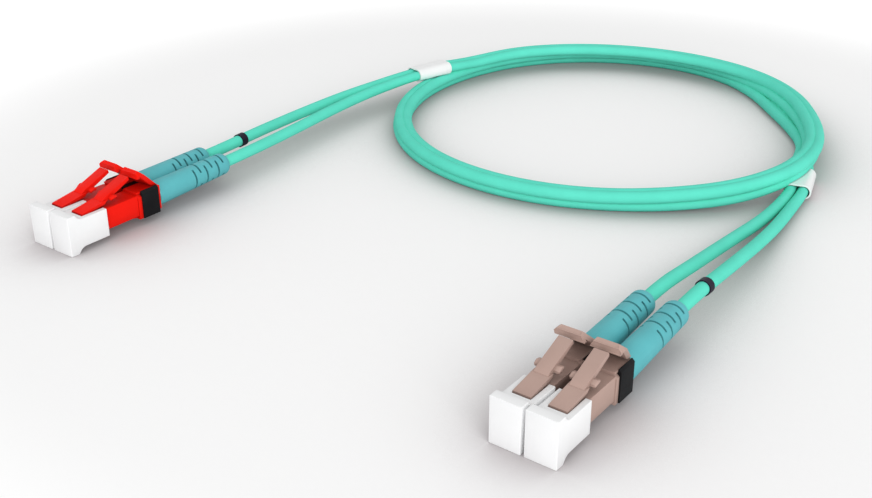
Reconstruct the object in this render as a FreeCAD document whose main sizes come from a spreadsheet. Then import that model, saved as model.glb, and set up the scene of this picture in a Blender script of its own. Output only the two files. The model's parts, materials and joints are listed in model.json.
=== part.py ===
"""Two duplex LC fibre connectors on one coiled two-leg patch lead, with their dust caps on.

Frame: +Z up, the near connector's dust caps face -Y, and its box stands on the floor centred
on the origin.  Lengths are in millimetres.  "Depth" is a distance behind the caps' front face.
"""
import FreeCAD, Part
import Sketcher
import math
import os
import re

SIZES = {
    # dust cap
    "cap_face": 1.6,            # solid end of the cap in front of its cavity
    "cap_room": 2.4,            # free depth between the cavity's end and the housing
    "cap_depth": 9.43,          # whole depth of the cap
    "cap_wall": 0.485,          # side walls
    "cap_floor": 1.02,          # wall under the cavity
    "cap_roof": 0.24,           # wall over the cavity
    "cap_clearance": 0.08,      # between the cavity and the housing, each side
    "flange_depth": 1.9,        # flat edge of the front flange
    "flange_rise": 1.22,        # how far the flange stands over the roof
    "flare_depth": 1.7,         # concave run from the flange's edge to the sleeve
    "flare_radius": 2.0,
    "slot_gap": 0.075,          # between the top slot and the latch arm, each side
    "slot_lead": 0.2,           # the slot starts this far in front of the arm's root
    # plug housing
    "side_pitch": 6.25,         # between the two ferrule axes
    "axis_rise": 4.55,          # ferrule axis over the floor
    "housing_size": 4.5,        # square section
    "housing_length": 13.7,
    "bore_diameter": 3.2,       # through the housing, the collars and the clip
    "wedge_length": 2.8,        # ramp under the housing's rear end
    "wedge_drop": 0.65,
    # latch arm
    "root_offset": 0.4,         # from the housing's front face to the arm's root
    "root_width": 3.25,
    "root_length": 5.7,
    "root_rise": 0.65,          # climb of the root part
    "arm_thickness": 0.7,
    "tail_width": 2.6,
    "tail_gap": 1.05,           # between the tail's end and the trigger's lip
    "tail_rise": 2.35,
    "tail_step": 0.6,           # the tail stands this much over the root part
    "lug_width": 4.7,
    "lug_length": 1.5,
    "lug_height": 0.9,
    "hinge_gap": 0.05,          # under the arm's root and under the trigger
    # ferrule and what holds it
    "ferrule_diameter": 1.25,
    "ferrule_length": 8.2,
    "ferrule_tip_gap": 0.6,     # between the ferrule's end and the cap's solid end
    "ferrule_bevel": 0.15,
    "neck_diameter": 0.9,
    "flange_diameter": 2.7,
    "flange_length": 2.4,
    "flange_overlap": 2.0,      # length of ferrule held in the flange
    "spring_diameter": 2.3,     # outer
    "spring_wire": 0.4,
    "spring_turns": 4,
    "spring_length": 4.0,
    "float_gap": 0.85,          # room for the ferrule's travel
    "fit_gap": 0.02,            # radial gap of pieces that sit in a bore
    "stub_diameter": 2.8,
    "stub_length": 3.6,         # rear body's stub inside the crimp sleeve
    "fibre_bore": 0.8,
    "crimp_wall": 0.3,
    "crimp_length": 4.4,
    # trigger base, clip and trigger
    "collar_thickness": 0.9,
    "collar_width": 4.8,
    "collar_under": 3.0,        # collar and clip below the axis
    "collar_over": 2.45,        # collar above the axis
    "collar_corner": 0.7,
    "clip_length": 4.3,
    "clip_reach": 2.675,        # from the ferrule axis out to the clip's side
    "clip_rim": 0.6,            # width of the two raised side rims
    "rim_rise": 0.6,            # rims over the clip's top
    "rim_corner": 0.45,
    "ridge_width": 2.0,
    "ridge_rise": 0.12,
    "shelf_thickness": 0.4,
    "shelf_width": 4.0,
    "web_length": 0.7,          # strip that joins the two shelves
    "plate_thickness": 0.5,     # rear plate of the far connector
    "plate_drop": 2.4,
    "plate_inset": 0.2,
    "trigger_reach": 2.875,     # from the ferrule axis out to the trigger's end
    "trigger_run": 4.75,        # depth of the sloping plate
    "trigger_rise": 4.6,
    "trigger_wall": 0.9,
    "lip_forward": 0.8,
    "lip_drop": 0.4,
    "lip_height": 1.15,
    "lip_thickness": 0.7,
    "heel_lift": 0.25,
    "valley_width": 2.6,
    "valley_depth": 2.3,
    "end_bevel": 0.9,
    "foot_taper": 1.1,          # the trigger is this much narrower at its root, each side
    # boot
    "boot_length": 20.7,
    "boot_front_diameter": 5.4,
    "boot_rear_diameter": 4.8,
    "boot_end_diameter": 3.4,
    "boot_nose": 1.1,           # depth of the rounded rear end
    "boot_nose_radius": 1.4,
    "near_boot_lift": 3.8,      # degrees that the near boots climb behind their clip
    "far_boot_lift": 1.5,
    "boot_overlap": 0.4,        # front end before it is trimmed square against the clip
    "boot_gap": 0.03,
    "groove_count": 6,
    "groove_start": 10.0,       # first groove behind the boot's front end
    "groove_pitch": 1.65,
    "groove_width": 0.45,
    "groove_core": 1.2,         # half thickness left between two opposite grooves
    # lead
    "leg_diameter": 2.5,
    "leg_gap": 0.06,            # radial, in the boot, the sleeves and the rings
    "leg_pitch": 2.6,           # between the two legs where they lie side by side
    "ring_length": 1.8,
    "ring_wall": 0.22,
    "sleeve_wall": 0.36,
    "near_sleeve_length": 10.4,
    "far_sleeve_length": 10.8,
    "sleeve_room": 0.3,         # clear space round the near sleeve under the coil
    "coil_outer_radius": 55.4,
    "coil_inner_radius": 47.0,
    "coil_height": 5.45,        # at its centre; the top leans up to the rear right
    "coil_lean": 1.8,          # degrees
}

# Where the lead's pieces lie: x, depth, z.
FAR_OFFSET = (-111.76, 1.75)
COIL_CENTRE = (-59.1, 129.3)
NEAR_SLEEVE = {"mouth": (-2.9, 114.0, 1.7), "turn": 14.9}
FAR_SLEEVE = {"mouth": (-111.5, 118.5, 6.15), "turn": -13.4}
LEG_ROUTES = {
    "near_leg_left": [
        (-3.125, 39.7, 5.67), (-3.125, 49.0, 6.28), (-2.75, 59.0, 5.63), (-2.9, 70.5, 4.43),
        (-3.1, 82.5, 3.05), (-3.1, 94.0, 1.85), (-3.4, 104.0, 1.45), (-4.16, 113.67, 1.7),
        (-6.83, 123.72, 1.7), (-10.3, 132.9, 1.35)],
    "near_leg_right": [
        (3.125, 39.7, 5.67), (3.125, 49.0, 6.28), (2.95, 59.0, 5.63), (2.4, 70.5, 4.43),
        (1.6, 82.5, 3.05), (0.5, 94.0, 1.85), (-0.75, 104.5, 1.45), (-1.64, 114.33, 1.7),
        (-4.32, 124.38, 1.7), (-7.9, 133.6, 1.35)],
    "far_leg_left": [
        (-114.885, 42.0, 5.0), (-114.885, 52.3, 5.27), (-116.1, 63.2, 5.15),
        (-116.8, 74.0, 5.05), (-116.8, 84.5, 5.2), (-116.4, 94.5, 5.4), (-114.8, 105.5, 5.75),
        (-112.77, 118.8, 6.15), (-110.26, 129.31, 6.15), (-108.6, 139.0, 5.7)],
    "far_leg_right": [
        (-108.635, 42.0, 5.0), (-108.635, 52.3, 5.27), (-109.7, 63.2, 5.15),
        (-111.0, 74.0, 5.05), (-112.0, 84.5, 5.2), (-112.5, 94.5, 5.4), (-112.1, 105.0, 5.75),
        (-110.24, 118.2, 6.15), (-107.73, 128.7, 6.15), (-106.05, 138.3, 5.7)],
}
MARKER_RINGS = {"near_marker_ring": "near_leg_right", "far_marker_ring": "far_leg_left"}
MARKED_RUN = 1                  # the ring sits in the middle of the route's second run
ARC_SHARE = 0.45                # share of the shorter run that an arc takes

# Depths that several pieces share, as expressions of the sizes.
HOUSING_FRONT = "cap_face + cap_room"
COLLAR_FRONT = "cap_face + cap_room + housing_length"
CLIP_FRONT = COLLAR_FRONT + " + collar_thickness"
CLIP_REAR = CLIP_FRONT + " + clip_length"
BOOT_REAR = CLIP_REAR + " + boot_length"
TRIGGER_TOP = CLIP_REAR + " + 0.4 - trigger_run"
CAVITY = "housing_size / 2 + cap_clearance"
CLIP_TOP = "axis_rise + collar_over - 0.05"
SHELF_TOP = "axis_rise + collar_over - 0.05 + shelf_thickness"
ARM_FOOT = "axis_rise + housing_size / 2 + hinge_gap"
FLANGE_FRONT = "cap_face + ferrule_tip_gap + ferrule_length - flange_overlap"
FLANGE_REAR = FLANGE_FRONT + " + flange_length"
SEAT = FLANGE_REAR + " + spring_length + float_gap"

doc = FreeCAD.newDocument("lc_duplex_lead")
sheet = doc.addObject("Spreadsheet::Sheet", "Sizes")
for row, (alias, number) in enumerate(SIZES.items(), start=1):
    sheet.set("A%d" % row, alias)
    sheet.set("B%d" % row, str(number))
    sheet.setAlias("B%d" % row, alias)
doc.recompute()

nodes = []


def size(alias):
    """The number in one cell of the sheet."""
    return float(sheet.get(alias))


def bound(text):
    """The same expression with each size written as a cell of the sheet."""
    return re.sub(r"[a-z_]{4,}", lambda word: "Sizes." + word.group(), str(text))


def number(text):
    """What an expression of sizes comes to now."""
    value = sheet.evalExpression(bound(text).replace("Sizes.", ""))
    return float(value)


def bind(thing, **expressions):
    """Tie properties of an object to expressions of the sizes."""
    for name, text in expressions.items():
        thing.setExpression(name, bound(text))
    return thing


def put(thing, x="0", depth="0", z="0"):
    """Tie an object's place to expressions of the sizes."""
    for axis, text in zip("xyz", (x, depth, z)):
        thing.setExpression("Placement.Base." + axis, bound(text))
    return thing


def block(name, width, depth, height, x, start, z):
    """A box centred across on x, from depth start and height z."""
    box = doc.addObject("Part::Box", name)
    bind(box, Length=width, Width=depth, Height=height)
    return put(box, "(%s) - (%s) / 2" % (x, width), start, z)


def rod(name, diameter, length, start, x="0", z="axis_rise"):
    """A round bar that runs along the depth."""
    bar = doc.addObject("Part::Cylinder", name)
    bar.Placement.Rotation = FreeCAD.Rotation(FreeCAD.Vector(1, 0, 0), -90)
    bind(bar, Radius="(%s) / 2" % diameter, Height=length)
    return put(bar, x, start, z)


def taper(name, front, rear, length, start):
    """A cone that runs along the depth, on the ferrule axis."""
    cone = doc.addObject("Part::Cone", name)
    cone.Placement.Rotation = FreeCAD.Rotation(FreeCAD.Vector(1, 0, 0), -90)
    bind(cone, Radius1="(%s) / 2" % front, Radius2="(%s) / 2" % rear, Height=length)
    return put(cone, "0", start, "axis_rise")


def turned(name, points):
    """A PartDesign body turned about the depth axis through its own origin."""
    body = doc.addObject("PartDesign::Body", name)
    turn = body.newObject("PartDesign::Revolution", "Turn")
    turn.Profile = outline(body, "YZ_Plane", points)
    turn.ReferenceAxis = (turn.Profile[0], ["H_Axis"])
    turn.Angle = 360
    return body


def joined(name, shapes):
    """One solid of several."""
    union = doc.addObject("Part::MultiFuse", name)
    union.Shapes = shapes
    union.Refine = True
    return union


def without(name, base, tools):
    """A shape less one tool or several."""
    cut = doc.addObject("Part::Cut", name)
    cut.Base = base
    cut.Tool = tools[0] if len(tools) == 1 else joined(name + "_tools", tools)
    return cut


def outline(body, plane, points):
    """A closed sketch of straight edges, run anticlockwise.  A third value at a point is the
    radius of the arc that leads to the next point, negative where it is hollow."""
    sketch = body.newObject("Sketcher::SketchObject", "Outline")
    origin = [part for part in body.Origin.OriginFeatures if part.Role == plane]
    sketch.AttachmentSupport = [(origin[0], "")]
    sketch.MapMode = "FlatFace"
    corners = [FreeCAD.Vector(number(p[0]), number(p[1]), 0) for p in points]
    tied = []
    for index, point in enumerate(points):
        here = corners[index]
        there = corners[(index + 1) % len(corners)]
        if len(point) == 2:
            edge = sketch.addGeometry(Part.LineSegment(here, there))
            tied.append((edge, 1, 2))
            continue
        radius = number(point[2])
        half = (there - here) * 0.5
        side = FreeCAD.Vector(half.y, -half.x, 0).normalize()
        bulge = abs(radius) - math.sqrt(radius * radius - half.Length * half.Length)
        top = here + half + side * math.copysign(bulge, radius)
        if radius > 0:
            edge = sketch.addGeometry(Part.Arc(here, top, there))
            tied.append((edge, 1, 2))
        else:
            edge = sketch.addGeometry(Part.Arc(there, top, here))
            tied.append((edge, 2, 1))
        rule = sketch.addConstraint(Sketcher.Constraint("Radius", edge, abs(radius)))
        sketch.setExpression("Constraints[%d]" % rule, bound("abs(%s)" % point[2]))
    for index, (edge, start, end) in enumerate(tied):
        after = tied[(index + 1) % len(tied)]
        sketch.addConstraint(Sketcher.Constraint("Coincident", edge, end, after[0], after[1]))
    for index, (edge, start, end) in enumerate(tied):
        for way, text, value in (("DistanceX", points[index][0], corners[index].x),
                                 ("DistanceY", points[index][1], corners[index].y)):
            rule = sketch.addConstraint(Sketcher.Constraint(way, -1, 1, edge, start, value))
            sketch.setExpression("Constraints[%d]" % rule, bound(text))
    return sketch


def pressed(name, plane, steps):
    """A PartDesign body of pads, each an outline and its thickness about the middle plane."""
    body = doc.addObject("PartDesign::Body", name)
    for points, thickness in steps:
        sketch = outline(body, plane, points)
        pad = body.newObject("PartDesign::Pad", "Pad")
        pad.Profile = sketch
        pad.SideType = "Symmetric"
        bind(pad, Length=thickness)
        doc.recompute()
    return body


def finish(thing, label, x, connector):
    """Name a piece and set it in the model's frame."""
    thing.Label = label
    shift_x = "0"
    shift_depth = "0"
    if connector == "far":
        shift_x, shift_depth = FAR_OFFSET
    put(thing, "(%s) + %s" % (x, shift_x), "%s - (%s) / 2" % (shift_depth, BOOT_REAR))
    nodes.append(thing)


def dust_cap(label):
    """Cap: sleeve over the plug, front flange with concave flares, slot for the latch."""
    under = "axis_rise - housing_size / 2 - cap_clearance - cap_floor"
    over = "axis_rise + housing_size / 2 + cap_clearance + cap_roof"
    flare = "flange_depth + flare_depth"
    side = [
        ("0", "0"), ("flange_depth", "0", "-flare_radius"), (flare, under),
        ("cap_depth", under), ("cap_depth", over), (flare, over, "-flare_radius"),
        ("flange_depth", over + " + flange_rise"), ("0", over + " + flange_rise")]
    width = "housing_size + 2 * cap_clearance + 2 * cap_wall"
    shell = pressed(label + "_shell", "YZ_Plane", [(side, width)])
    hole = "2 * (%s)" % CAVITY
    cavity = block(label + "_cavity", hole, "cap_depth", hole, "0", "cap_face",
                   "axis_rise - (%s)" % CAVITY)
    slot = block(label + "_slot", "root_width + 2 * slot_gap", "cap_depth", "flange_rise + 1",
                 "0", HOUSING_FRONT + " + root_offset - slot_lead", "axis_rise + housing_size / 2")
    return without(label, shell, [cavity, slot])


def housing(label):
    """Square plug body with its bore and the small ramp under its rear end."""
    square = block(label + "_square", "housing_size", "housing_length", "housing_size", "0",
                   HOUSING_FRONT, "axis_rise - housing_size / 2")
    foot = "axis_rise - housing_size / 2"
    ramp = [
        (COLLAR_FRONT + " - wedge_length", foot), (COLLAR_FRONT, foot + " - wedge_drop"),
        (COLLAR_FRONT, foot + " + wedge_drop"),
        (COLLAR_FRONT + " - wedge_length", foot + " + wedge_drop")]
    wedge = pressed(label + "_wedge", "YZ_Plane", [(ramp, "bore_diameter")])
    solid = joined(label + "_solid", [square, wedge])
    bore = rod(label + "_bore", "bore_diameter", "housing_length + 2", HOUSING_FRONT + " - 1")
    return without(label, solid, [bore])


def latch(label):
    """Springy arm: a wide root part, a raised narrower tail and two side lugs."""
    root = HOUSING_FRONT + " + root_offset"
    crease = root + " + root_length"
    end = TRIGGER_TOP + " - lip_forward - tail_gap"
    crease_top = ARM_FOOT + " + root_rise + arm_thickness"
    tail_top = crease_top + " + tail_step"
    wide = [
        (root, ARM_FOOT), (root + " + 0.5", ARM_FOOT),
        (crease, ARM_FOOT + " + root_rise"), (crease + " + 0.6", crease_top),
        (crease, crease_top), (root, ARM_FOOT + " + arm_thickness * 0.7")]
    narrow = [
        (crease + " - 0.5", ARM_FOOT + " + root_rise"),
        (crease + " + 0.6", ARM_FOOT + " + root_rise + 0.25"),
        (end + " + 0.15", tail_top + " + tail_rise - arm_thickness"),
        (end, tail_top + " + tail_rise"), (crease + " + 0.4", tail_top),
        (crease + " - 0.5", crease_top)]
    lug_front = crease + " + 1.1"
    lug_foot = ARM_FOOT + " + root_rise + 0.55"
    lugs = [
        (lug_front, lug_foot), (lug_front + " + lug_length", lug_foot + " + 0.3"),
        (lug_front + " + lug_length", lug_foot + " + 0.3 + lug_height / 2"),
        (lug_front + " + lug_length / 2", lug_foot + " + lug_height"),
        (lug_front, lug_foot + " + lug_height / 2")]
    steps = [(wide, "root_width"), (narrow, "tail_width"), (lugs, "lug_width")]
    return pressed(label, "YZ_Plane", steps)


def ferrule(label):
    """Ceramic pin with a bevelled end and a neck that is glued in its flange."""
    front = "cap_face + ferrule_tip_gap"
    tip = taper(label + "_tip", "ferrule_diameter - 2 * ferrule_bevel", "ferrule_diameter",
                "ferrule_bevel", front)
    pin = rod(label + "_pin", "ferrule_diameter",
              "ferrule_length - ferrule_bevel - flange_overlap", front + " + ferrule_bevel")
    neck = rod(label + "_neck", "neck_diameter", "flange_overlap", FLANGE_FRONT)
    return joined(label, [tip, pin, neck])


def ferrule_flange(label):
    """Metal collar that holds the ferrule's rear end."""
    ring = rod(label + "_ring", "flange_diameter", "flange_length", FLANGE_FRONT)
    seat = rod(label + "_seat", "neck_diameter", "flange_overlap", FLANGE_FRONT)
    fibre = rod(label + "_fibre", "fibre_bore", "flange_length", FLANGE_FRONT)
    return without(label, ring, [seat, fibre])


def spring(label):
    """Open coil spring behind the flange."""
    wire = size("spring_wire")
    radius = (size("spring_diameter") - wire) / 2
    climb = size("spring_length") - wire
    path = Part.makeHelix(climb / size("spring_turns"), climb, radius)
    section = Part.Wire([Part.makeCircle(wire / 2, FreeCAD.Vector(radius, 0, 0),
                                         FreeCAD.Vector(0, 1, 0))])
    place = FreeCAD.Placement(
        FreeCAD.Vector(0, number(FLANGE_REAR) + wire / 2, size("axis_rise")),
        FreeCAD.Rotation(FreeCAD.Vector(1, 0, 0), -90))
    path.Placement = place
    section.Placement = place
    piece = doc.addObject("Part::Feature", label)
    piece.Shape = Part.Wire(path.Edges).makePipeShell([section], True, True)
    return piece


def rear_body(label):
    """Tube that closes the housing, passes the collar and the clip, and ends in a stub."""
    start = SEAT
    tube = rod(label + "_tube", "bore_diameter - 2 * fit_gap", "(%s) - (%s)" % (CLIP_REAR, start),
               start)
    stub = rod(label + "_stub", "stub_diameter", "stub_length", CLIP_REAR)
    fibre = rod(label + "_fibre", "fibre_bore", "(%s) - (%s) + stub_length" % (CLIP_REAR, start),
                start)
    return without(label, joined(label + "_solid", [tube, stub]), [fibre])


def crimp_sleeve(label):
    """Metal sleeve crimped on the rear body's stub, under the boot."""
    inner = "stub_diameter + 2 * fit_gap"
    start = CLIP_REAR + " + plate_thickness + 0.1"
    tube = rod(label + "_tube", inner + " + 2 * crimp_wall", "crimp_length", start)
    hole = rod(label + "_hole", inner, "crimp_length", start)
    return without(label, tube, [hole])


def boot(label, front, lift):
    """Tapered strain relief with a rounded rear end and staggered grooves.  It is made level
    about its own axis, tilted up about the clip's rear face and trimmed square there."""
    end = "boot_end_diameter / 2"
    behind_clip = "((%s) - (%s))" % (front, CLIP_REAR)
    level_front = behind_clip + " - boot_overlap"
    level_end = "((%s + boot_length - %s * sin(%s)) / cos(%s))" % (behind_clip, end, lift, lift)
    profile = [
        (level_front, "0"), (level_end, "0"), (level_end, end, "boot_nose_radius"),
        (level_end + " - boot_nose", "boot_rear_diameter / 2"),
        (level_front, "boot_front_diameter / 2")]
    sleeve = turned(label + "_sleeve", profile)
    tools = [rod(label + "_narrow", "leg_diameter + 2 * leg_gap", level_end + " + 2", "-1", z="0")]
    reach = size("boot_front_diameter")
    for index in range(int(size("groove_count"))):
        start = "%s + groove_start + %d * groove_pitch" % (behind_clip, index)
        for side in (-1, 1):
            name = "%s_groove_%d" % (label, len(tools))
            far_side = "%d * (groove_core + %g / 2)" % (side, reach)
            x, foot = far_side, "%g / -2" % reach
            if index % 2:
                x, foot = "0", "%s - %g / 2" % (far_side, reach)
            tools.append(block(name, str(reach), "groove_width", str(reach), x, start, foot))
    grooved = without(label + "_grooved", sleeve, tools)
    grooved.Placement.Rotation = FreeCAD.Rotation(FreeCAD.Vector(1, 0, 0), number(lift))
    put(grooved, "0", CLIP_REAR, "axis_rise")
    room = rod(label + "_room", "stub_diameter + 2 * fit_gap + 2 * crimp_wall + 2 * boot_gap",
               "plate_thickness + crimp_length + 0.3", CLIP_REAR)
    trim = block(label + "_trim", "10", "2", "10", "0", "(%s) - 2" % front, "axis_rise - 5")
    return without(label, grooved, [room, trim])


def bores(label, start, length, diameter="bore_diameter"):
    """The two holes through a piece that both plugs pass."""
    pair = []
    for side, sign in (("left", -1), ("right", 1)):
        pair.append(rod("%s_%s" % (label, side), diameter, length, start,
                        "%d * side_pitch / 2" % sign))
    return pair


def duplex_clip(label):
    """Clip that holds the two plugs side by side, with two raised side rims and a ridge."""
    half = "(side_pitch / 2 + clip_reach)"
    inner = "(side_pitch / 2 + clip_reach - clip_rim)"
    rim_top = CLIP_TOP + " + rim_rise"
    ridge_top = CLIP_TOP + " + ridge_rise"
    under = "axis_rise - collar_under"
    right = [
        (half, under), (half, rim_top + " - rim_corner"), (half + " - rim_corner", rim_top),
        (inner, rim_top), (inner, CLIP_TOP), ("ridge_width / 2", CLIP_TOP),
        ("ridge_width / 2", ridge_top)]
    left = [("-1 * (%s)" % x, z) for x, z in reversed(right)]
    block_body = pressed(label + "_block", "XZ_Plane", [(right + left, "clip_length")])
    put(block_body, "0", CLIP_FRONT + " + clip_length / 2")
    return without(label, block_body, bores(label + "_bore", CLIP_FRONT + " - 1",
                                            "clip_length + 2"))


def trigger_base(label, has_plate):
    """Two collars behind the housings with the shelves that carry the trigger."""
    pieces = []
    for side, sign in (("left", -1), ("right", 1)):
        middle = "%d * side_pitch / 2" % sign
        inner = "(%s - %d * collar_width / 2)" % (middle, sign)
        outer = "(%s + %d * collar_width / 2)" % (middle, sign)
        under = "axis_rise - collar_under"
        over = "axis_rise + collar_over"
        face = [
            (inner, under), (outer, under), (outer, over + " - collar_corner"),
            ("%s - %d * collar_corner" % (outer, sign), over), (inner, over)]
        if sign < 0:
            face.reverse()
        collar = pressed("%s_collar_%s" % (label, side), "XZ_Plane",
                         [(face, "collar_thickness")])
        put(collar, "0", COLLAR_FRONT + " + collar_thickness / 2")
        shelf = block("%s_shelf_%s" % (label, side), "shelf_width",
                      "collar_thickness + clip_length", "shelf_thickness", middle,
                      COLLAR_FRONT, CLIP_TOP)
        pieces += [collar, shelf]
    web = block(label + "_web", "side_pitch", "web_length", "shelf_thickness - ridge_rise", "0",
                CLIP_REAR + " - web_length", CLIP_TOP + " + ridge_rise")
    pieces.append(web)
    length = "collar_thickness + 2"
    if has_plate:
        pieces.append(block(label + "_plate", "side_pitch + 2 * clip_reach - 2 * plate_inset",
                            "plate_thickness", "plate_drop + collar_over + shelf_thickness - 0.05",
                            "0", CLIP_REAR, "axis_rise - plate_drop"))
        length = "collar_thickness + clip_length + plate_thickness + 2"
    holes = bores(label + "_bore", COLLAR_FRONT + " - 1", length)
    return without(label, joined(label + "_solid", pieces), holes)


def trigger(label):
    """Sloping thumb plate with a lip along its top, a valley between its two halves."""
    foot = SHELF_TOP + " + hinge_gap"
    top = foot + " + trigger_rise"
    slope = math.hypot(size("trigger_run"), size("trigger_rise"))
    run_share = "trigger_run / %.6f" % slope
    rise_share = "trigger_rise / %.6f" % slope
    steep = "trigger_rise / trigger_run"
    lip = TRIGGER_TOP + " - lip_forward"
    lip_rear = lip + " + lip_thickness"
    inner_start = "trigger_wall * (%s)" % rise_share
    inner_drop = "trigger_wall * (%s)" % run_share
    # the inner face is the outer one moved in by the wall
    lip_inner = "%s - (%s) - ((%s) - (%s) + (%s)) * %s" % (
        top, inner_drop, lip_rear, TRIGGER_TOP, inner_start, steep)
    heel = foot + " + heel_lift"
    heel_depth = "%s + 0.4 - (%s) - ((%s) - (%s) + (%s)) / (%s)" % (
        CLIP_REAR, inner_start, heel, foot, inner_drop, steep)
    side = [
        (CLIP_REAR + " + 0.4", foot), (TRIGGER_TOP, top), (lip, top + " - lip_drop"),
        (lip, top + " - lip_drop - lip_height"), (lip_rear, top + " - lip_drop - lip_height"),
        (lip_rear, lip_inner), (heel_depth, heel)]
    width = "side_pitch + 2 * trigger_reach"
    plate = pressed(label + "_plate", "YZ_Plane", [(side, width)])
    half = "(side_pitch / 2 + trigger_reach)"
    above = top + " + 1"
    valley = [
        ("0", top + " - valley_depth"),
        ("valley_width / 2 * (1 + 1 / valley_depth)", above),
        ("-valley_width / 2 * (1 + 1 / valley_depth)", above)]
    cuts = [valley]
    for sign in (1, -1):
        end = [
            ("%d * (%s + 1)" % (sign, half), foot + " - 1"),
            ("%d * (%s - foot_taper)" % (sign, half), foot + " - 1"),
            ("%d * (%s - foot_taper)" % (sign, half), foot),
            ("%d * %s" % (sign, half), top + " - end_bevel"),
            ("%d * (%s - end_bevel - 1)" % (sign, half), above),
            ("%d * (%s + 1)" % (sign, half), above)]
        if sign < 0:
            end.reverse()
        cuts.append(end)
    tools = []
    for index, points in enumerate(cuts):
        tool = pressed("%s_cut_%d" % (label, index), "XZ_Plane",
                       [(points, "4 * trigger_run")])
        tools.append(put(tool, "0", CLIP_REAR))
    return without(label, plate, tools)


def rounded_path(points):
    """Straight runs joined by tangent arcs; gives the wire and its tightest radius."""
    edges = []
    start = points[0]
    tightest = math.inf
    for before, corner, after in zip(points, points[1:], points[2:]):
        back = before - corner
        ahead = after - corner
        reach = ARC_SHARE * min(back.Length, ahead.Length)
        turn = math.pi - back.getAngle(ahead)
        radius = reach / math.tan(turn / 2)
        tightest = min(tightest, radius)
        first = corner + back.normalize() * reach
        last = corner + ahead.normalize() * reach
        inward = (back + ahead).normalize()
        middle = corner + inward * (radius / math.cos(turn / 2) - radius)
        edges.append(Part.LineSegment(start, first).toShape())
        edges.append(Part.Arc(first, middle, last).toShape())
        start = last
    edges.append(Part.LineSegment(start, points[-1]).toShape())
    return Part.Wire(edges), tightest


def route_points(label):
    """A leg's route in the model's frame."""
    middle = number(BOOT_REAR) / 2
    return [FreeCAD.Vector(x, depth - middle, z) for x, depth, z in LEG_ROUTES[label]]


def leg(label):
    """One leg's tube from inside its boot to the coil."""
    points = route_points(label)
    path, tightest = rounded_path(points)
    radius = size("leg_diameter") / 2
    section = Part.Wire([Part.makeCircle(radius, points[0], points[1] - points[0])])
    piece = doc.addObject("Part::Feature", label)
    piece.Shape = path.makePipeShell([section], True, True)
    expected = math.pi * radius * radius * path.Length
    print("%s: tightest radius %.0f mm, length %.1f mm, volume ratio %.4f"
          % (label, tightest, path.Length, piece.Shape.Volume / expected))
    nodes.append(piece)


def marker_ring(label, leg_label):
    """Identification ring on one leg."""
    points = route_points(leg_label)
    first, last = points[MARKED_RUN:MARKED_RUN + 2]
    along = (last - first).normalize()
    start = (first + last) * 0.5 - along * (size("ring_length") / 2)
    inner = size("leg_diameter") / 2 + size("leg_gap")
    outer = inner + size("ring_wall")
    tube = Part.makeCylinder(outer, size("ring_length"), start, along)
    piece = doc.addObject("Part::Feature", label)
    piece.Shape = tube.cut(Part.makeCylinder(inner, size("ring_length"), start, along))
    nodes.append(piece)


def flat_oval(width, height):
    """Outline of a flat oval about the sketch's origin."""
    flat = "((%s) - (%s)) / 2" % (width, height)
    half = "(%s) / 2" % height
    round_end = "((%s) / 2 * 1.0001)" % height
    return [("-1 * " + flat, "-1 * " + half), (flat, "-1 * " + half, round_end),
            (flat, half), ("-1 * " + flat, half, round_end)]


def split_sleeve(label, place, length):
    """Flat oval sleeve that binds the two legs where they start to run as a pair."""
    height = "leg_diameter + 2 * leg_gap"
    width = "leg_pitch + " + height
    inner = pressed(label + "_inner", "XZ_Plane", [(flat_oval(width, height), length)])
    wall = " + 2 * sleeve_wall"
    outer = pressed(label + "_outer", "XZ_Plane",
                    [(flat_oval(width + wall, height + wall), length)])
    sleeve = without(label, outer, [inner])
    x, depth, z = place["mouth"]
    turn = math.radians(place["turn"])
    along = number(length) / 2
    sleeve.Placement = FreeCAD.Placement(
        FreeCAD.Vector(x - along * math.sin(turn),
                       depth + along * math.cos(turn) - number(BOOT_REAR) / 2, z),
        FreeCAD.Rotation(FreeCAD.Vector(0, 0, 1), place["turn"]))
    sleeve.Label = label
    nodes.append(sleeve)


def cable_coil(label):
    """Outer shape of the coiled pair: a ring whose top leans, notched over the near sleeve."""
    x, depth = COIL_CENTRE
    centre_depth = "%g - (%s) / 2" % (depth, BOOT_REAR)
    rings = []
    for name, radius in (("outer", "coil_outer_radius"), ("inner", "coil_inner_radius")):
        ring = doc.addObject("Part::Cylinder", "%s_%s" % (label, name))
        bind(ring, Radius=radius, Height="2 * coil_height")
        rings.append(put(ring, str(x), centre_depth))
    above = doc.addObject("Part::Cylinder", label + "_above")
    bind(above, Radius="2 * coil_outer_radius", Height="2 * coil_height")
    above.Placement.Rotation = FreeCAD.Rotation(FreeCAD.Vector(1, -1, 0), size("coil_lean"))
    put(above, str(x), centre_depth, "coil_height")
    notch = doc.addObject("Part::Box", label + "_notch")
    room = size("sleeve_room")
    half = (size("leg_pitch") + size("leg_diameter")) / 2 + size("leg_gap") + size("sleeve_wall")
    bind(notch, Width="near_sleeve_length + 2 * sleeve_room", Length=str(2 * (half + room)),
         Height="leg_diameter + 2 * leg_gap + 2 * sleeve_wall + 2 * sleeve_room")
    mouth_x, mouth_depth, mouth_z = NEAR_SLEEVE["mouth"]
    turn = FreeCAD.Rotation(FreeCAD.Vector(0, 0, 1), NEAR_SLEEVE["turn"])
    corner = turn.multVec(FreeCAD.Vector(-half - room, -room, 0))
    notch.Placement = FreeCAD.Placement(
        corner + FreeCAD.Vector(mouth_x, mouth_depth - number(BOOT_REAR) / 2, 0), turn)
    coil = without(label, rings[0], [rings[1], above, notch])
    coil.Label = label
    nodes.append(coil)


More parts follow.
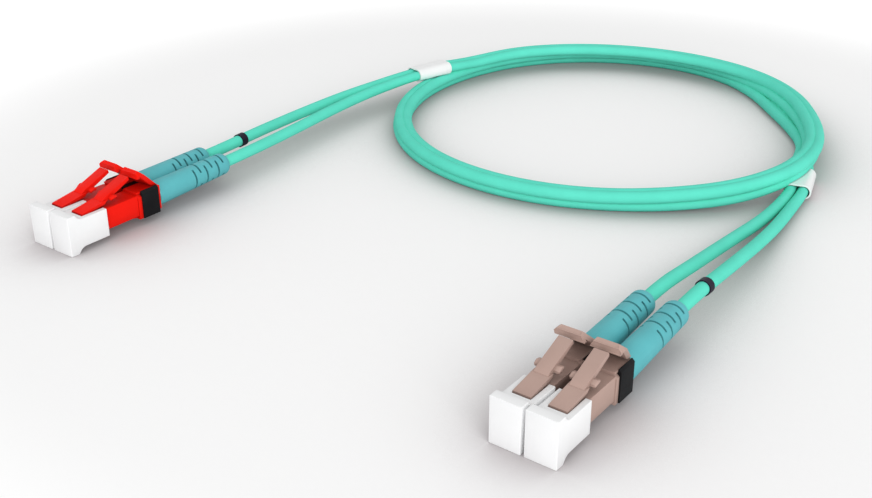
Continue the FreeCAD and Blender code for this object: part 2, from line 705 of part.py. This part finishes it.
for connector in ("near", "far"):
    boot_front = CLIP_REAR
    if connector == "far":
        boot_front = CLIP_REAR + " + plate_thickness"
    for side, sign in (("left", -1), ("right", 1)):
        axis_x = "%d * side_pitch / 2" % sign
        for make in (dust_cap, housing, latch, ferrule, ferrule_flange, spring, rear_body,
                     crimp_sleeve):
            node = "%s_%s_%s" % (connector, side, make.__name__)
            finish(make(node), node, axis_x, connector)
        node = "%s_%s_boot" % (connector, side)
        finish(boot(node, boot_front, connector + "_boot_lift"), node, axis_x, connector)
    finish(duplex_clip(connector + "_duplex_clip"), connector + "_duplex_clip", "0", connector)
    finish(trigger_base(connector + "_trigger_base", connector == "far"),
           connector + "_trigger_base", "0", connector)
    finish(trigger(connector + "_trigger"), connector + "_trigger", "0", connector)

for node in LEG_ROUTES:
    leg(node)
for node, leg_node in MARKER_RINGS.items():
    marker_ring(node, leg_node)
split_sleeve("near_sleeve", NEAR_SLEEVE, "near_sleeve_length")
split_sleeve("far_sleeve", FAR_SLEEVE, "far_sleeve_length")
cable_coil("cable_coil")

doc.recompute()
for thing in doc.Objects:
    if "Invalid" in thing.State or "Error" in thing.State:
        raise RuntimeError("%s failed: %s" % (thing.Name, thing.State))
for node in nodes:
    if node.Shape.isNull() or not node.Shape.isValid() or len(node.Shape.Solids) != 1:
        raise RuntimeError("%s has %d solids" % (node.Label, len(node.Shape.Solids)))

os.makedirs("parts", exist_ok=True)
for node in nodes:
    node.Shape.exportStep("parts/%s.step" % node.Label)
print("%d nodes" % len(nodes))
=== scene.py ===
# %% [markdown]
# # Two duplex LC fibre connectors on a coiled patch lead
#
# This lesson dresses a CAD frame of a patch lead: two duplex LC connectors, one pinkish beige
# and one red, on a two-leg aqua lead that lies in two and a half flat turns.  The frame brings
# every rigid piece at its real place and size.  What it can't bring is how they look: rounded
# moulded edges, the finish of each plastic, and a lead that bends like a lead.
#
# The first cell loads the frame, and a helper there measures a part's box.

# %% Load the frame
import json
import math

import bmesh
import bpy
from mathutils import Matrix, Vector


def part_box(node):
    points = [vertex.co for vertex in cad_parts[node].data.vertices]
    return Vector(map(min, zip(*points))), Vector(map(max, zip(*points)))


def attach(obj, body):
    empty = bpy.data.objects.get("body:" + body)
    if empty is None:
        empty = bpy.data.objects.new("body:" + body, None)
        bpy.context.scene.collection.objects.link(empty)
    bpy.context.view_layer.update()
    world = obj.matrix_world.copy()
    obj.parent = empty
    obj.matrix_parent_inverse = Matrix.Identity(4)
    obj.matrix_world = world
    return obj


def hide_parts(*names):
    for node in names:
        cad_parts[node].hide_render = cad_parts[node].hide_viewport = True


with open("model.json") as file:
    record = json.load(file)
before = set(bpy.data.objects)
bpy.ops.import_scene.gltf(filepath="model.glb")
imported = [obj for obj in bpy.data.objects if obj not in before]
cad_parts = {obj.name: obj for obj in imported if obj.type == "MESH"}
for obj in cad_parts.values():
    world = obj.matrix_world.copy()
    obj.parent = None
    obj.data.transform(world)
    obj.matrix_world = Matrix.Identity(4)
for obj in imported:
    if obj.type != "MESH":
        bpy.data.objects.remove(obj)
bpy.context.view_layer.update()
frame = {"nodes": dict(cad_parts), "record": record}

MM = 0.001

# %% [markdown]
# ## Places
#
# All places are in the row frame: +X to the right of the near connector seen from its caps,
# +Y back along the lead, +Z up.  "Depth" is a distance in millimetres behind the front face of
# the near dust caps, which is how a maker would dimension a connector.  The frame gives the
# front face, so depths and the frame can't drift apart.

# %% Measure the frame
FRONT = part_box("near_left_dust_cap")[0].y


def place(x, depth, z):
    """A point from millimetres across, behind the caps' front face and up."""
    return Vector((x * MM, FRONT + depth * MM, z * MM))


print("front face at", round(FRONT / MM, 2), "mm")

# %% [markdown]
# ## Light, floor and camera
#
# Small moulded parts read best in a bright, even tent of light, as in a product sheet.  The
# world is that tent.  It is plain grey for the light and white for the camera, through Light
# Path, so that the backdrop is white.  It is white for glossy and transmission rays too: a
# painted reflection, so the parts mirror a brighter tent than the one that lights them.

# %% World
FLOOR_COLOUR = (0.93, 0.93, 0.93, 1)
WORLD_LEVEL = 0.62


def nodes_of(owner):
    """A cleared node tree and its two handy shortcuts."""
    owner.use_nodes = True
    tree = owner.node_tree
    tree.nodes.clear()
    return tree, tree.nodes.new, tree.links.new


world = bpy.data.worlds.new("tent")
bpy.context.scene.world = world
tree, new, link = nodes_of(world)
path = new("ShaderNodeLightPath")
lit = new("ShaderNodeBackground")
lit.inputs["Color"].default_value = (1, 1, 1, 1)
lit.inputs["Strength"].default_value = WORLD_LEVEL
seen = new("ShaderNodeBackground")
seen.inputs["Color"].default_value = (1, 1, 1, 1)
seen.inputs["Strength"].default_value = 1.0
either = new("ShaderNodeMixShader")
white_for = path.outputs["Is Camera Ray"]
# Glossy and transmission rays see the white as well: a painted reflection, brighter than the
# tent's light on the parts.
for ray in ("Is Glossy Ray", "Is Transmission Ray"):
    also = new("ShaderNodeMath")
    also.operation = "MAXIMUM"
    link(white_for, also.inputs[0])
    link(path.outputs[ray], also.inputs[1])
    white_for = also.outputs[0]
link(white_for, either.inputs[0])
link(lit.outputs[0], either.inputs[1])
link(seen.outputs[0], either.inputs[2])
link(either.outputs[0], new("ShaderNodeOutputWorld").inputs[0])
print("world level", WORLD_LEVEL)

# %% [markdown]
# One large soft lamp stands in front and to the right, above the parts.  It brings the front
# faces of the caps close to white and lays the soft shadows behind the parts and to their left.

# %% Lamps


LAMP_PLACE = (0.92, -0.90, 0.58)
LAMP_TARGET = (-0.05, 0.04, 0)
LAMP_SIZE = 1.2
LAMP_POWER = 13.0


def soft_lamp(name, at, towards, size, power):
    """A square area lamp aimed at a point."""
    light = bpy.data.lights.new(name, "AREA")
    light.size = size
    light.energy = power
    lamp = bpy.data.objects.new(name, light)
    bpy.context.collection.objects.link(lamp)
    lamp.location = at
    lamp.rotation_euler = (Vector(towards) - Vector(at)).to_track_quat("-Z", "Y").to_euler()


soft_lamp("front_lamp", LAMP_PLACE, LAMP_TARGET, LAMP_SIZE, LAMP_POWER)

# %% [markdown]
# The camera stands in front of the near connector, to its right and above it, and looks back
# along the lead.  Its place is given from the front face of the caps, like every other place.

# %% Camera
VIEW_POINT = place(74.321, -120.288, 103.511)
VIEW_TURN = (64.384, 0.0, 36.691)
VIEW_LENS = 48.49
VIEW_SHIFT = (-0.0019, -0.0163)

camera_data = bpy.data.cameras.new("camera")
camera_data.lens = VIEW_LENS
camera_data.sensor_width = 36
camera_data.shift_x, camera_data.shift_y = VIEW_SHIFT
camera_data.clip_start = 0.005
camera = bpy.data.objects.new("camera", camera_data)
bpy.context.collection.objects.link(camera)
camera.location = VIEW_POINT
camera.rotation_euler = [math.radians(angle) for angle in VIEW_TURN]
bpy.context.scene.camera = camera
bpy.context.scene.view_settings.view_transform = "Standard"
print("camera at", [round(value / MM, 1) for value in VIEW_POINT], "mm")

# %% [markdown]
# ## Finishes
#
# Every piece is moulded plastic, rubber or plated metal.  Moulded plastic is never quite one
# colour: the pigment clouds a little, the surface carries the fine texture of its mould, and
# gloss varies where it has been handled.  One recipe covers them all, with a slow noise for the
# colour and a finer one for both the gloss and the bump.

# %% Plastic recipe
CLOUD_RANGE = (0.35, 0.65)      # where the clouds go from the darker colour to the lighter
GLOSS_SPREAD = 0.05             # roughness either side of a finish's own
DEEPEST = 0.3                   # openness at which a corner has its full shade


def multiplied(tree, colour, shade):
    """One socket's colour multiplied by another's."""
    mix = tree.nodes.new("ShaderNodeMix")
    mix.data_type = "RGBA"
    mix.blend_type = "MULTIPLY"
    mix.inputs["Factor"].default_value = 1.0
    tree.links.new(colour, mix.inputs[6])
    tree.links.new(shade, mix.inputs[7])
    return mix.outputs[2]


def finish(name, colour, darker, roughness, grain, bump, cloud=180.0, coat=0.0, metal=0.0,
           shine=0.3, painted_shade=None):
    """A procedural finish: clouded colour, uneven gloss and a fine mould texture.

    grain is the texture's frequency per metre, bump its height in metres.  The last argument
    gives a
    painted shade: a reach in metres and the colour's share left in the deepest corners, where
    soft light hardly reaches.
    """
    material = bpy.data.materials.new(name)
    tree, new, link = nodes_of(material)
    shader = new("ShaderNodeBsdfPrincipled")
    shader.inputs["Metallic"].default_value = metal
    shader.inputs["Specular IOR Level"].default_value = shine
    shader.inputs["Coat Weight"].default_value = coat
    shader.inputs["Coat Roughness"].default_value = 0.25
    spot = new("ShaderNodeTexCoord")

    clouds = new("ShaderNodeTexNoise")
    clouds.inputs["Scale"].default_value = cloud
    clouds.inputs["Detail"].default_value = 3
    link(spot.outputs["Object"], clouds.inputs["Vector"])
    ramp = new("ShaderNodeValToRGB")
    ramp.color_ramp.elements[0].position = CLOUD_RANGE[0]
    ramp.color_ramp.elements[0].color = darker + (1,)
    ramp.color_ramp.elements[1].position = CLOUD_RANGE[1]
    ramp.color_ramp.elements[1].color = colour + (1,)
    link(clouds.outputs["Fac"], ramp.inputs["Fac"])
    link(ramp.outputs["Color"], shader.inputs["Base Color"])
    # Painted shade: an occlusion shade multiplied into the base colour, darkest in corners and
    # creases.
    if painted_shade:
        reach, share = painted_shade
        shade = new("ShaderNodeAmbientOcclusion")
        shade.inputs["Distance"].default_value = reach
        depth = new("ShaderNodeMapRange")
        depth.inputs["From Min"].default_value = DEEPEST
        depth.inputs["To Min"].default_value = share
        link(shade.outputs["AO"], depth.inputs["Value"])
        link(multiplied(tree, ramp.outputs["Color"], depth.outputs["Result"]),
             shader.inputs["Base Color"])

    texture = new("ShaderNodeTexNoise")
    texture.inputs["Scale"].default_value = grain
    texture.inputs["Detail"].default_value = 2
    link(spot.outputs["Object"], texture.inputs["Vector"])
    gloss = new("ShaderNodeMapRange")
    gloss.inputs["To Min"].default_value = roughness - GLOSS_SPREAD
    gloss.inputs["To Max"].default_value = roughness + GLOSS_SPREAD
    link(texture.outputs["Fac"], gloss.inputs["Value"])
    link(gloss.outputs["Result"], shader.inputs["Roughness"])
    relief = new("ShaderNodeBump")
    relief.inputs["Strength"].default_value = 0.6
    relief.inputs["Distance"].default_value = bump
    link(texture.outputs["Fac"], relief.inputs["Height"])
    link(relief.outputs["Normal"], shader.inputs["Normal"])
    link(shader.outputs[0], new("ShaderNodeOutputMaterial").inputs[0])
    return material


# The boots, the beige and red plastics and the sleeves get painted shade: an occlusion shade
# darkens their colour in corners and creases.
FINISHES = {
    "aqua_jacket": finish("aqua_jacket", (0.135, 0.80, 0.62), (0.127, 0.765, 0.59), 0.55,
                          3500, 0.00002, shine=0.03),
    "teal_boot": finish("teal_boot", (0.115, 0.50, 0.54), (0.105, 0.46, 0.50), 0.55,
                        2500, 0.00003, painted_shade=(0.0006, 0.35)),
    "beige_plastic": finish("beige_plastic", (0.51, 0.352, 0.30), (0.485, 0.332, 0.283), 0.48,
                            3000, 0.00002, painted_shade=(0.004, 0.62)),
    "red_plastic": finish("red_plastic", (0.98, 0.011, 0.004), (0.93, 0.010, 0.003), 0.48,
                          3000, 0.00002, shine=0.1, painted_shade=(0.004, 0.55)),
    "cap_plastic": finish("cap_plastic", (0.955, 0.96, 0.965), (0.93, 0.935, 0.94), 0.42,
                          3000, 0.000015),
    "sleeve_plastic": finish("sleeve_plastic", (0.95, 0.955, 0.955), (0.93, 0.935, 0.935), 0.40,
                             3000, 0.000015, painted_shade=(0.0005, 0.25)),
    "black_plastic": finish("black_plastic", (0.010, 0.010, 0.011), (0.007, 0.007, 0.008), 0.50,
                            2500, 0.00002, shine=0.1),
    "ring_plastic": finish("ring_plastic", (0.018, 0.013, 0.028), (0.014, 0.010, 0.022), 0.45,
                           3000, 0.000015, shine=0.1),
    "zirconia": finish("zirconia", (0.93, 0.92, 0.89), (0.91, 0.90, 0.87), 0.15,
                       4000, 0.000003, coat=0.5),
    "nickel_metal": finish("nickel_metal", (0.70, 0.69, 0.67), (0.64, 0.63, 0.61), 0.30,
                           5000, 0.000008, metal=1.0),
    "spring_steel": finish("spring_steel", (0.58, 0.58, 0.60), (0.50, 0.50, 0.52), 0.32,
                           5000, 0.000008, metal=1.0),
}
print("finishes", len(FINISHES))

# %% [markdown]
# The floor is a plain pale sheet that catches the soft shadows under and behind the parts.

# %% Floor
floor_mesh = bpy.data.meshes.new("floor")
FLOOR_HALF = 3.0
corners = [(-1, -1), (1, -1), (1, 1), (-1, 1)]
floor_mesh.from_pydata([(x * FLOOR_HALF, y * FLOOR_HALF, 0) for x, y in corners], [],
                       [(0, 1, 2, 3)])
floor = bpy.data.objects.new("floor", floor_mesh)
bpy.context.collection.objects.link(floor)
floor_paint = finish("floor_paint", FLOOR_COLOUR[:3], (0.925, 0.925, 0.925), 0.7, 40, 0.0001,
                     cloud=2.0, shine=0.1)
floor_mesh.materials.append(floor_paint)
print("floor", 2 * FLOOR_HALF, "m wide")

# %% [markdown]
# Close to the parts less of the tent's light reaches the floor, so a painted shadow, an
# occlusion shade, darkens its colour there.  Further away the floor glows for the camera alone,
# and more with distance, until it runs into the white backdrop without an edge; the weaker glow
# round the parts is painted shade as well.

# %% Whiten the floor for the camera and darken it round the parts
FLOOR_GLOW = (0.17, 0.56)     # round the parts and far away from them
GLOW_REACH = (0.12, 0.21)     # metres from the middle of the parts
GLOW_MIDDLE = (-0.055, 0.07, 0)
SHADE_REACH = 0.11
FLOOR_SHADES = {              # how open the floor is, and its colour's share there
    0.30: (0.42, 0.395, 0.40, 1),
    0.55: (0.53, 0.50, 0.505, 1),
    0.75: (0.68, 0.655, 0.66, 1),
    0.90: (0.85, 0.837, 0.84, 1),
}
tree = floor_paint.node_tree
new, link = tree.nodes.new, tree.links.new
paint = next(node for node in tree.nodes if node.type == "BSDF_PRINCIPLED")
# Painted shadow: an occlusion ramp, FLOOR_SHADES, multiplies the floor's colour round the parts;
# its greys lean slightly pink.
shade = new("ShaderNodeAmbientOcclusion")
shade.samples = 16
shade.inputs["Distance"].default_value = SHADE_REACH
deeper = new("ShaderNodeValToRGB")
stops = deeper.color_ramp.elements
(stops[0].position, stops[0].color), *between = FLOOR_SHADES.items()
stops[1].position, stops[1].color = 1.0, (1, 1, 1, 1)
for openness, shaded in between:
    stops.new(openness).color = shaded
link(shade.outputs["AO"], deeper.inputs["Fac"])
painted_floor_shadow = multiplied(tree, paint.inputs["Base Color"].links[0].from_socket, deeper.outputs[0])
link(painted_floor_shadow, paint.inputs["Base Color"])
spread = new("ShaderNodeVectorMath")
spread.operation = "DISTANCE"
spread.inputs[1].default_value = GLOW_MIDDLE
link(new("ShaderNodeTexCoord").outputs["Object"], spread.inputs[0])
rise = new("ShaderNodeMapRange")
rise.interpolation_type = "SMOOTHSTEP"
rise.inputs["From Min"].default_value, rise.inputs["From Max"].default_value = GLOW_REACH
rise.inputs["To Min"].default_value, rise.inputs["To Max"].default_value = FLOOR_GLOW
link(spread.outputs["Value"], rise.inputs["Value"])
glow = new("ShaderNodeMath")
glow.operation = "MULTIPLY"
link(rise.outputs["Result"], glow.inputs[1])
link(new("ShaderNodeLightPath").outputs["Is Camera Ray"], glow.inputs[0])
link(glow.outputs[0], paint.inputs["Emission Strength"])
link(painted_floor_shadow, paint.inputs["Emission Color"])
print("floor glow", FLOOR_GLOW)

# %% [markdown]
# ## The lead
#
# The lead is two round 2.5 mm legs that leave the boots side by side, drop to the floor and
# run as a flat pair between the two white sleeves.  Between the sleeves the pair makes two and
# a half turns, lying flat, one level on another.  Each leg is one NURBS curve from boot to
# boot.  Its free stretches follow the same points as the CAD tubes, but for the
# last point of each far leg, which lies a little lower.  A loop adds the turns: a point each
# fifteen degrees on a circle whose radius and height drift slowly.
#
# In the turns the pair reads as one flat ribbon with a shallow groove, so its two legs are drawn
# thicker there and pass a little into each other, and so do the levels.
#
# A quadratic curve runs inside its control points.  On a circle it is inside by a fixed share,
# so the loop's radius is divided by that share.

# %% Leg routes
LEG_DIAMETER = 2.5
NEAR_LEFT = [
    (-3.125, 39.7, 5.67), (-3.125, 49.0, 6.28), (-2.75, 59.0, 5.63), (-2.9, 70.5, 4.43),
    (-3.1, 82.5, 3.05), (-3.1, 94.0, 1.85), (-3.4, 104.0, 1.45), (-4.16, 113.67, 1.7),
    (-6.83, 123.72, 1.7), (-10.3, 132.9, 1.35)]
NEAR_RIGHT = [
    (3.125, 39.7, 5.67), (3.125, 49.0, 6.28), (2.95, 59.0, 5.63), (2.4, 70.5, 4.43),
    (1.6, 82.5, 3.05), (0.5, 94.0, 1.85), (-0.75, 104.5, 1.45), (-1.64, 114.33, 1.7),
    (-4.32, 124.38, 1.7), (-7.9, 133.6, 1.35)]
FAR_LEFT = [
    (-114.885, 42.0, 5.0), (-114.885, 52.3, 5.27), (-116.1, 63.2, 5.15),
    (-116.8, 74.0, 5.05), (-116.8, 84.5, 5.2), (-116.4, 94.5, 5.4), (-114.8, 105.5, 5.75),
    (-112.77, 118.8, 6.15), (-110.26, 129.31, 6.15), (-108.5, 138.8, 5.2)]
FAR_RIGHT = [
    (-108.635, 42.0, 5.0), (-108.635, 52.3, 5.27), (-109.7, 63.2, 5.15),
    (-111.0, 74.0, 5.05), (-112.0, 84.5, 5.2), (-112.5, 94.5, 5.4), (-112.1, 105.0, 5.75),
    (-110.24, 118.2, 6.15), (-107.73, 128.7, 6.15), (-106.0, 138.1, 5.2)]

# %% Turns of the pair
COIL_X = -59.6
COIL_DEPTH = 130.15
COIL_RADIUS = 51.45
TURN_STEP = 15          # degrees between points
FIRST_ANGLE = 15
LAST_ANGLE = 870
TURN_PITCH = 1.6        # between the two legs, pressed together in the turns
TURN_DIAMETER = 2.75
LEVEL_PITCH = 2.0
LEVEL_SHIFT = (0.8, -1.45)   # where each level's centre lies from the one below
INSIDE_SHARE = (1 + math.cos(math.radians(TURN_STEP))) / 2

CLIMBS = ((305, 350), (655, 705))    # angles between which the pair climbs to a higher level
CROSSINGS = (353, 713)               # angles at which it passes over the near sleeve
HUMP_HEIGHT = 0.6
HUMP_WIDTH = 15                      # degrees
LEVEL_TIGHTER = 0.6                  # each level is this much smaller in radius
OVAL = (0.45, -240)                  # two waves round the coil: their height and their turn
LOBES = (0.3, 24)                    # three waves

# Places where the pair strays from the circle: its angle, its width and how far outwards.
STRAYS = [(42, 30, -6.8), (178, 30, -1.6), (217, 26, -0.8), (308, 20, -0.5), (338, 20, 2.6),
          (400, 30, -3.4), (538, 30, -1.6), (577, 26, -0.8), (668, 20, -0.5), (700, 22, 2.4),
          (750, 20, -1.7), (830, 35, -1.6)]


def smooth(value, low, high):
    """0 before low, 1 after high, and an even slope between."""
    share = min(max((value - low) / (high - low), 0), 1)
    return share * share * (3 - 2 * share)


def level(angle):
    """How many passes lie under the pair at this angle along its two and a half turns."""
    return sum(smooth(angle, low, high) for low, high in CLIMBS)


def hump(angle):
    """Extra height where the pair passes over the near sleeve."""
    return sum(HUMP_HEIGHT * math.exp(-((angle - crossing) / HUMP_WIDTH) ** 2)
               for crossing in CROSSINGS)


def drift(angle):
    """How far the pair strays outwards from a true circle at this angle.

    The lowest turn is drawn inwards where it comes out from under the others, each level is a
    little tighter than the one below, and the whole coil is slightly out of round.
    """
    turn = math.radians(angle)
    strays = sum(far * math.exp(-((angle - at) / width) ** 2) for at, width, far in STRAYS)
    tighter = LEVEL_TIGHTER * (1 - level(angle))
    oval = OVAL[0] * math.cos(2 * turn + math.radians(OVAL[1]))
    lobes = LOBES[0] * math.cos(3 * turn + math.radians(LOBES[1]))
    return strays + tighter + oval + lobes


def turn_points(offset):
    """Points of one leg through the turns, offset outwards from the pair's middle."""
    points = []
    for step in range(FIRST_ANGLE, LAST_ANGLE + 1, TURN_STEP):
        turn = math.radians(step)
        radius = (COIL_RADIUS + drift(step)) / INSIDE_SHARE + offset
        lift = level(step)
        points.append((COIL_X + lift * LEVEL_SHIFT[0] + radius * math.cos(turn),
                       COIL_DEPTH + lift * LEVEL_SHIFT[1] + radius * math.sin(turn),
                       TURN_DIAMETER / 2 + lift * LEVEL_PITCH + hump(step)))
    return points


ROUTES = {
    "inner_leg": NEAR_LEFT + turn_points(-TURN_PITCH / 2) + FAR_RIGHT[::-1],
    "outer_leg": NEAR_RIGHT + turn_points(TURN_PITCH / 2) + FAR_LEFT[::-1],
}
for leg, points in ROUTES.items():
    print(leg, len(points), "points")

# %% [markdown]
# The curve gets its order and its clamped ends after its points, because an order set on an
# empty spline falls back to straight runs.  The bevel gives it the leg's round section.

# %% Leg curves
FREE_SHARE = 1.03       # the free stretches are a touch rounder than the pressed turns
MOUTH_SHARE = 0.93      # and a touch slimmer in the sleeves, which leaves the mouths open
MOUTH_POINTS = 3        # points of a free stretch that lie in the sleeve


def lead_curve(name, points):
    """A round leg along a quadratic NURBS curve."""
    curve = bpy.data.curves.new(name, "CURVE")
    curve.dimensions = "3D"
    curve.bevel_depth = LEG_DIAMETER / 2 * MM
    curve.bevel_resolution = 6
    curve.resolution_u = 8
    curve.use_fill_caps = True
    spline = curve.splines.new("NURBS")
    spline.points.add(len(points) - 1)
    free = len(NEAR_LEFT)
    for index, (knot, point) in enumerate(zip(spline.points, points)):
        knot.co = (*place(*point), 1)
        from_boot = min(index, len(points) - 1 - index)
        knot.radius = TURN_DIAMETER / LEG_DIAMETER
        if from_boot < free:
            knot.radius = FREE_SHARE if from_boot < free - MOUTH_POINTS else MOUTH_SHARE
    spline.order_u = 3
    spline.use_endpoint_u = True
    piece = bpy.data.objects.new(name, curve)
    bpy.context.collection.objects.link(piece)
    curve.materials.append(FINISHES["aqua_jacket"])
    return piece


def centreline(points):
    """The points that the curve itself passes, with no bevel."""
    probe = lead_curve("probe", points)
    probe.data.bevel_depth = 0
    bpy.context.view_layer.update()
    mesh = bpy.data.meshes.new_from_object(probe)
    line = [vertex.co.copy() for vertex in mesh.vertices]
    bpy.data.objects.remove(probe)
    return line


legs = {}
lines = {}
for name, points in ROUTES.items():
    legs[name] = lead_curve(name, points)
    lines[name] = centreline(points)
    length = sum((b - a).length for a, b in zip(lines[name], lines[name][1:]))
    print(name, "length", round(length, 4), "m")

# %% [markdown]
# ## Pieces that keep their CAD shape
#
# The frame's own meshes are already right for the plug parts, but a moulded part never has a
# knife edge.  Each piece of the connectors that shows is therefore a copy of its CAD mesh whose
# flat faces are made whole again, with a small rounded bevel along every edge that turns by more
# than 25 degrees.

# %% Rounded copies
RECORD_SLOTS = {part["node"]: part["material_slot"] for part in frame["record"]["subparts"]}
BODY_OF = {}
for body, members in frame["record"]["behaviour"]["bodies"].items():
    for member in members:
        BODY_OF[member] = body
EDGE_ANGLE = 25
EDGE_SEGMENTS = 3
LUG_RADIUS = 0.35
LUG_SEGMENTS = 4
LUG_TIP = 0.1           # edges this near to the arm's widest place are the lugs' own
BROAD_FACE = 3e-6       # square metres, more than any narrow face of a thumb bar
RIM_WIDTH = 0.14
RIM_SLOPE = 0.16
DISH_DEPTH = 0.07


def dish(shape):
    """Sink the thumb bar's front and top faces a little inside a flat rim."""
    shape.normal_update()
    broad = [face for face in shape.faces
             if face.normal.y < -0.4 and face.normal.z > -0.1
             and face.calc_area() > BROAD_FACE]
    bmesh.ops.inset_individual(shape, faces=broad, thickness=RIM_WIDTH * MM)
    bmesh.ops.inset_individual(shape, faces=broad, thickness=RIM_SLOPE * MM,
                               depth=-DISH_DEPTH * MM)
    return len(broad)


def rounded(node, radius):
    """A copy of a CAD node with whole flat faces and rounded edges.

    The latches' side lugs stand out past the arm and are rounded more than the arm is.
    """
    mesh = frame["nodes"][node].data.copy()
    shape = bmesh.new()
    shape.from_mesh(mesh)
    bmesh.ops.remove_doubles(shape, verts=shape.verts, dist=0.000002)
    bmesh.ops.dissolve_limit(shape, angle_limit=math.radians(1), verts=shape.verts,
                             edges=shape.edges)
    if node.endswith("_trigger"):
        print(node, "dished faces", dish(shape))
    weight = shape.edges.layers.float.new("bevel_weight_edge")
    across = [vertex.co.x for vertex in shape.verts]
    middle, reach = (min(across) + max(across)) / 2, (max(across) - min(across)) / 2
    for edge in shape.edges:
        tip = min(abs(vertex.co.x - middle) for vertex in edge.verts) > reach - LUG_TIP * MM
        edge[weight] = 1.0 if tip and node.endswith("_latch") else 0.0
    for face in shape.faces:
        face.smooth = True
    shape.to_mesh(mesh)
    shape.free()
    mesh.materials.clear()
    mesh.materials.append(FINISHES[RECORD_SLOTS[node]])
    piece = bpy.data.objects.new(node + "_moulded", mesh)
    bpy.context.collection.objects.link(piece)
    if node.endswith("_latch"):
        lug = piece.modifiers.new("lug_edges", "BEVEL")
        lug.width = LUG_RADIUS * MM
        lug.segments = LUG_SEGMENTS
        lug.limit_method = "WEIGHT"
    bevel = piece.modifiers.new("edges", "BEVEL")
    bevel.width = radius * MM
    bevel.segments = EDGE_SEGMENTS
    bevel.limit_method = "ANGLE"
    bevel.angle_limit = math.radians(EDGE_ANGLE)
    bevel.harden_normals = True
    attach(piece, BODY_OF[node])
    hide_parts(node)
    return piece


EDGE_RADII = {
    "dust_cap": 0.13, "housing": 0.12, "latch": 0.16, "boot": 0.06,
    "duplex_clip": 0.12, "trigger_base": 0.10, "trigger": 0.10,
}
for node in RECORD_SLOTS:
    for kind, radius in EDGE_RADII.items():
        if node.endswith("_" + kind):
            rounded(node, radius)

# %% [markdown]
# The pieces that keep the frame's own mesh get the finish of their slot as well.

# %% Finishes of the other nodes
for node, thing in frame["nodes"].items():
    thing.data.materials.clear()
    thing.data.materials.append(FINISHES[RECORD_SLOTS[node]])
print("nodes with a finish", len(frame["nodes"]))

# %% [markdown]
# Each leg goes with the root body, and the frame's legs and coil, which the two curves
# replace, are hidden.

REPLACED = {"inner_leg": ("near_leg_left", "far_leg_right"),
            "outer_leg": ("near_leg_right", "far_leg_left", "cable_coil")}
for name, piece in legs.items():
    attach(piece, "root")
    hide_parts(*REPLACED[name])
